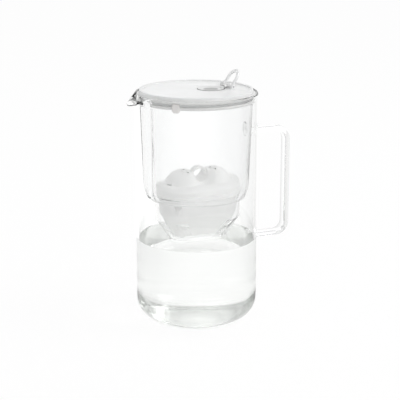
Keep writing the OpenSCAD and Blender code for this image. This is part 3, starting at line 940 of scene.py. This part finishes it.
def ripple_group():
    """Slow waves of drawn or moulded surfaces, as a height and as a mask."""
    group = bpy.data.node_groups.new("surface_ripple", "ShaderNodeTree")
    face = group.interface
    face.new_socket("Scale", in_out="INPUT", socket_type="NodeSocketFloat")
    face.new_socket("Stretch", in_out="INPUT", socket_type="NodeSocketFloat")
    face.new_socket("Height", in_out="OUTPUT", socket_type="NodeSocketFloat")
    face.new_socket("Mask", in_out="OUTPUT", socket_type="NodeSocketFloat")
    n, l = group.nodes, group.links
    inputs = n.new("NodeGroupInput")
    outputs = n.new("NodeGroupOutput")
    place = n.new("ShaderNodeTexCoord")
    squeeze = n.new("ShaderNodeCombineXYZ")
    squeeze.inputs["X"].default_value = 1
    squeeze.inputs["Y"].default_value = 1
    scaled = n.new("ShaderNodeVectorMath")
    scaled.operation = "MULTIPLY"
    waves = n.new("ShaderNodeTexNoise")
    waves.inputs["Detail"].default_value = 2
    patches = n.new("ShaderNodeTexNoise")
    patches.inputs["Detail"].default_value = 4
    patches.inputs["Roughness"].default_value = 0.6
    l.new(inputs.outputs["Stretch"], squeeze.inputs["Z"])
    l.new(place.outputs["Object"], scaled.inputs[0])
    l.new(squeeze.outputs["Vector"], scaled.inputs[1])
    l.new(scaled.outputs["Vector"], waves.inputs["Vector"])
    l.new(place.outputs["Object"], patches.inputs["Vector"])
    l.new(inputs.outputs["Scale"], waves.inputs["Scale"])
    l.new(inputs.outputs["Scale"], patches.inputs["Scale"])
    l.new(waves.outputs["Fac"], outputs.inputs["Height"])
    l.new(patches.outputs["Fac"], outputs.inputs["Mask"])
    return group


RIPPLE = ripple_group()


def dress(material, tree, shader, scale, stretch, depth, rough, dark, light):
    """Ripple for the normal, and its patches for roughness and colour."""
    ripple = tree.nodes.new("ShaderNodeGroup")
    ripple.node_tree = RIPPLE
    ripple.inputs["Scale"].default_value = scale
    ripple.inputs["Stretch"].default_value = stretch
    mask = ripple.outputs["Mask"]
    feed(tree, shader.inputs["Roughness"], ramp(tree, mask, 0, 1, *rough, curve="LINEAR"))
    feed(tree, shader.inputs["Base Color"], mix(tree, "RGBA", mask, (*dark, 1), (*light, 1)))
    feed(tree, shader.inputs["Normal"], bump(tree, ripple.outputs["Height"], depth))
    return material


def blown_glass():
    material, tree, shader = new_material("blown_glass")
    shader.inputs["Transmission Weight"].default_value = 1
    shader.inputs["IOR"].default_value = 1.47
    return dress(material, tree, shader, scale=24, stretch=0.35, depth=0.02 * MM,
                 rough=(0.0, 0.012), dark=(0.992, 0.995, 0.992), light=(0.998, 1.0, 0.998))


def still_water():
    material, tree, shader = new_material("still_water")
    shader.inputs["Transmission Weight"].default_value = 1
    shader.inputs["IOR"].default_value = 1.333
    return dress(material, tree, shader, scale=18, stretch=1, depth=0.03 * MM,
                 rough=(0.0, 0.004), dark=(0.925, 0.933, 0.925), light=(0.95, 0.955, 0.948))


def clear_moulding():
    material, tree, shader = new_material("clear_moulding")
    shader.inputs["Transmission Weight"].default_value = 1
    shader.inputs["IOR"].default_value = 1.49
    return dress(material, tree, shader, scale=40, stretch=0.5, depth=0.01 * MM,
                 rough=(0.0, 0.02), dark=(0.992, 0.993, 0.996), light=(0.998, 0.999, 1.0))


def frosted_moulding(name="frosted_moulding"):
    material, tree, shader = new_material(name)
    shader.inputs["Transmission Weight"].default_value = 0.3
    shader.inputs["IOR"].default_value = 1.46
    return dress(material, tree, shader, scale=300, stretch=1, depth=0.01 * MM,
                 rough=(0.28, 0.42), dark=(0.93, 0.935, 0.935), light=(0.96, 0.963, 0.963))


def frosted_with_painted_shade():
    """Frosted like the lid, with painted shade: greyer in the flap's thin middle where the seat would
    show through, and a dark ring inside its rim for the gap's shadow.
    """
    material = frosted_moulding("frosted_with_painted_shade")
    tree = material.node_tree
    tint = tree.nodes["Principled BSDF"].inputs["Base Color"]
    from_middle = vector_maths(tree, "SUBTRACT", coordinates(tree, "Object"), (FLAP_X, 0, 0))
    flat = vector_maths(tree, "MULTIPLY", from_middle, (1, 1, 0))
    reach = vector_maths(tree, "LENGTH", flat)
    colour = tint.links[0].from_socket
    # Each step paints shade onto the flap's colour, by the reach from its middle
    for start, end, grey in FLAP_PAINTED_SHADE:
        colour = mix(tree, "RGBA", ramp(tree, reach, start, end), colour, (grey, grey, grey, 1))
    feed(tree, tint, colour)
    return material


def white_moulding():
    material, tree, shader = new_material("white_moulding")
    shader.inputs["IOR"].default_value = 1.5
    shader.inputs["Subsurface Weight"].default_value = 0.08
    shader.inputs["Subsurface Radius"].default_value = (0.004, 0.004, 0.004)
    return dress(material, tree, shader, scale=120, stretch=1, depth=0.02 * MM,
                 rough=(0.3, 0.45), dark=(0.90, 0.90, 0.895), light=(0.93, 0.93, 0.92))


def soft_silicone(name, dark, light):
    material, tree, shader = new_material(name)
    shader.inputs["IOR"].default_value = 1.42
    shader.inputs["Transmission Weight"].default_value = 0.2
    return dress(material, tree, shader, scale=200, stretch=1, depth=0.02 * MM,
                 rough=(0.35, 0.5), dark=dark, light=light)


def ground_steel():
    material, tree, shader = new_material("ground_steel")
    shader.inputs["Metallic"].default_value = 1
    return dress(material, tree, shader, scale=900, stretch=0.1, depth=0.01 * MM,
                 rough=(0.2, 0.35), dark=(0.55, 0.55, 0.56), light=(0.68, 0.68, 0.69))


def granules(name, scale, dark, light, rough):
    """Packed grains, round as beads or broken as carbon."""
    material, tree, shader = new_material(name)
    grains = tree.nodes.new("ShaderNodeTexVoronoi")
    grains.inputs["Scale"].default_value = scale
    shader.inputs["Roughness"].default_value = rough
    apart = grains.outputs["Distance"]
    feed(tree, shader.inputs["Base Color"], mix(tree, "RGBA", apart, (*light, 1), (*dark, 1)))
    feed(tree, shader.inputs["Normal"], bump(tree, apart, GRAIN_DEPTH, invert=True))
    return material


def finish_with(piece, material):
    piece.data.materials.clear()
    piece.data.materials.append(material)


# Stage
def make_camera():
    data = bpy.data.cameras.new("photo_camera")
    data.lens = CAMERA_LENS
    data.sensor_width = CAMERA_SENSOR
    camera = bpy.data.objects.new("photo_camera", data)
    camera.location = CAMERA_PLACE
    camera.rotation_euler = (math.radians(CAMERA_TILT), 0, math.radians(CAMERA_TURN))
    bpy.context.scene.collection.objects.link(camera)
    bpy.context.scene.camera = camera


def compass(degrees):
    return (math.cos(math.radians(degrees)), math.sin(math.radians(degrees)), 0)


def seen_by_clear_things(tree):
    """1 for the camera and for rays that mirrors and clear things send on, else 0."""
    path = tree.nodes.new("ShaderNodeLightPath")
    straight = maths(tree, "ADD", path.outputs["Is Camera Ray"],
                     path.outputs["Is Transmission Ray"])
    return maths(tree, "ADD", straight, path.outputs["Is Glossy Ray"], clamp=True)


def white_for_camera(tree, shade):
    """The shade, except that the camera sees white."""
    path = tree.nodes.new("ShaderNodeLightPath")
    return mix(tree, "FLOAT", path.outputs["Is Camera Ray"], shade, 1)


def sweep_shade(tree, kind):
    """Brightness of the paper round the object: white behind it, grey at its sides, and right under it
    a painted shadow that lightens to white towards its edge.
    """
    flat = vector_maths(tree, "MULTIPLY", coordinates(tree, kind), (1, 1, 0))
    reach = vector_maths(tree, "LENGTH", flat)
    unit = vector_maths(tree, "NORMALIZE", flat)
    behind = vector_maths(tree, "DOT_PRODUCT", unit, compass(PAPER_TURN))
    back = ramp(tree, behind, 0, 1, PAPER_SIDES, 1, curve="LINEAR")
    front = ramp(tree, behind, 0, -1, 0, FRONT_LIGHT, curve="LINEAR")
    around = maths(tree, "ADD", back, front)
    # Painted shadow: the paper that clear things see is darker right under the object
    painted_shadow = ramp(tree, reach, UNDER_NEAR, PAPER_NEAR, PAINTED_SHADOW_LIGHT, 1)
    far = ramp(tree, reach, PAPER_NEAR, PAPER_FAR)
    return maths(tree, "MULTIPLY", mix(tree, "FLOAT", far, painted_shadow, around), PAPER_LIGHT)


def make_world():
    """White for the eye, with the paper's grey sides in clear things, and an even room light."""
    world = bpy.data.worlds.new("white_studio")
    bpy.context.scene.world = world
    world.use_nodes = True
    tree = world.node_tree
    n, l = tree.nodes, tree.links
    view = coordinates(tree, "Generated")
    height = n.new("ShaderNodeSeparateXYZ")
    l.new(view, height.inputs["Vector"])
    strength = sweep_shade(tree, "Generated")
    for start, end, level in ((WALL_LOW, WALL_HIGH, WALL_LIGHT), (CEILING_LOW, 1, CEILING_LIGHT)):
        strength = mix(tree, "FLOAT", ramp(tree, height.outputs["Z"], start, end), strength, level)
    white = n.new("ShaderNodeBackground")
    l.new(white_for_camera(tree, strength), white.inputs["Strength"])
    side = vector_maths(tree, "DOT_PRODUCT", view, compass(KEY_TURN))
    share = maths(tree, "MULTIPLY", side, KEY_SHARE)
    plain = n["Background"]
    l.new(maths(tree, "ADD", share, ROOM_LIGHT), plain.inputs["Strength"])
    for shader in (white, plain):
        shader.inputs["Color"].default_value = (1, 1, 1, 1)
    choose = n.new("ShaderNodeMixShader")
    l.new(seen_by_clear_things(tree), choose.inputs["Fac"])
    l.new(plain.outputs["Background"], choose.inputs[1])
    l.new(white.outputs["Background"], choose.inputs[2])
    l.new(choose.outputs["Shader"], n["World Output"].inputs["Surface"])


def make_floor():
    """White paper that keeps a trace of the object's shadow."""
    mesh = bpy.data.meshes.new("pale_floor")
    corners = [(x * FLOOR_SIDE, y * FLOOR_SIDE, -FLOOR_DROP)
               for x, y in ((-1, -1), (1, -1), (1, 1), (-1, 1))]
    mesh.from_pydata(corners, [], [(0, 1, 2, 3)])
    floor = link("pale_floor", mesh)
    material, tree, shader = new_material("pale_floor")
    n, l = tree.nodes, tree.links
    shader.inputs["Base Color"].default_value = (0.9, 0.9, 0.9, 1)
    shader.inputs["Roughness"].default_value = 0.9
    shader.inputs["Specular IOR Level"].default_value = 0
    glow = n.new("ShaderNodeEmission")
    # The glow that clear things see carries the sweep's painted shadow under the object
    l.new(white_for_camera(tree, sweep_shade(tree, "Object")), glow.inputs["Strength"])
    share = maths(tree, "MULTIPLY", seen_by_clear_things(tree), FLOOR_GLOW)
    both = n.new("ShaderNodeMixShader")
    l.new(share, both.inputs["Fac"])
    l.new(shader.outputs["BSDF"], both.inputs[1])
    l.new(glow.outputs["Emission"], both.inputs[2])
    l.new(both.outputs["Shader"], n["Material Output"].inputs["Surface"])
    finish_with(floor, material)


def make_lamp(name, place, size, power):
    data = bpy.data.lights.new(name, "AREA")
    data.shape = "DISK"
    data.size = size
    data.energy = power
    lamp = bpy.data.objects.new(name, data)
    lamp.location = place
    lamp.rotation_euler = (LAMP_AIM - Vector(place)).to_track_quat("-Z", "Y").to_euler()
    bpy.context.scene.collection.objects.link(lamp)


def make_stage():
    make_camera()
    make_world()
    make_floor()
    make_lamp("right_soft_light", place=(1.3, -0.7, 1.3), size=1.2, power=9)
    make_lamp("high_soft_light", place=(-0.3, 0.5, 1.9), size=1.2, power=3)
    scene = bpy.context.scene
    scene.view_settings.view_transform = "Standard"
    scene.cycles.max_bounces = 64
    scene.cycles.transmission_bounces = 64
    scene.cycles.glossy_bounces = 64
    scene.cycles.diffuse_bounces = 6
    scene.cycles.blur_glossy = 0


# Assembly
make_stage()

GLASS = blown_glass()
WATER = still_water()
CLEAR = clear_moulding()
FROSTED = frosted_moulding()
WHITE = white_moulding()
SILICONE = soft_silicone("soft_silicone", dark=(0.87, 0.87, 0.865), light=(0.92, 0.92, 0.915))
TAB_SILICONE = soft_silicone("tab_silicone", dark=(0.95, 0.92, 0.91), light=(0.97, 0.95, 0.94))
STEEL = ground_steel()
CARBON = granules("broken_carbon", scale=900, dark=(0.008, 0.008, 0.008),
                  light=(0.05, 0.05, 0.05), rough=0.7)
RESIN = granules("resin_beads", scale=1400, dark=(0.3, 0.17, 0.05),
                 light=(0.75, 0.52, 0.22), rough=0.4)
SCREEN = granules("woven_screen", scale=1200, dark=(0.55, 0.55, 0.53),
                  light=(0.8, 0.8, 0.78), rough=0.6)

finish_with(make_jug(), GLASS)
finish_with(make_handle(), GLASS)
finish_with(make_water(), WATER)
finish_with(make_hopper(), CLEAR)
finish_with(make_cup(), WHITE)
finish_with(make_cap(), WHITE)
finish_with(make_arch(), WHITE)
finish_with(make_lid(), FROSTED)
finish_with(make_flap(), frosted_with_painted_shade())
finish_with(make_thumb_loop(), FROSTED)
finish_with(make_tab(), TAB_SILICONE)

CARRIED = {
    "hopper_ring": SILICONE, "lid_seal": SILICONE, "cartridge_seal": SILICONE,
    "flap_seal": SILICONE, "top_screen": SCREEN, "middle_screen": SCREEN, "bottom_screen": SCREEN,
    "carbon_bed": CARBON, "resin_bed": RESIN, "hinge_pin": STEEL,
}
for node, material in CARRIED.items():
    finish_with(nodes[node], material)
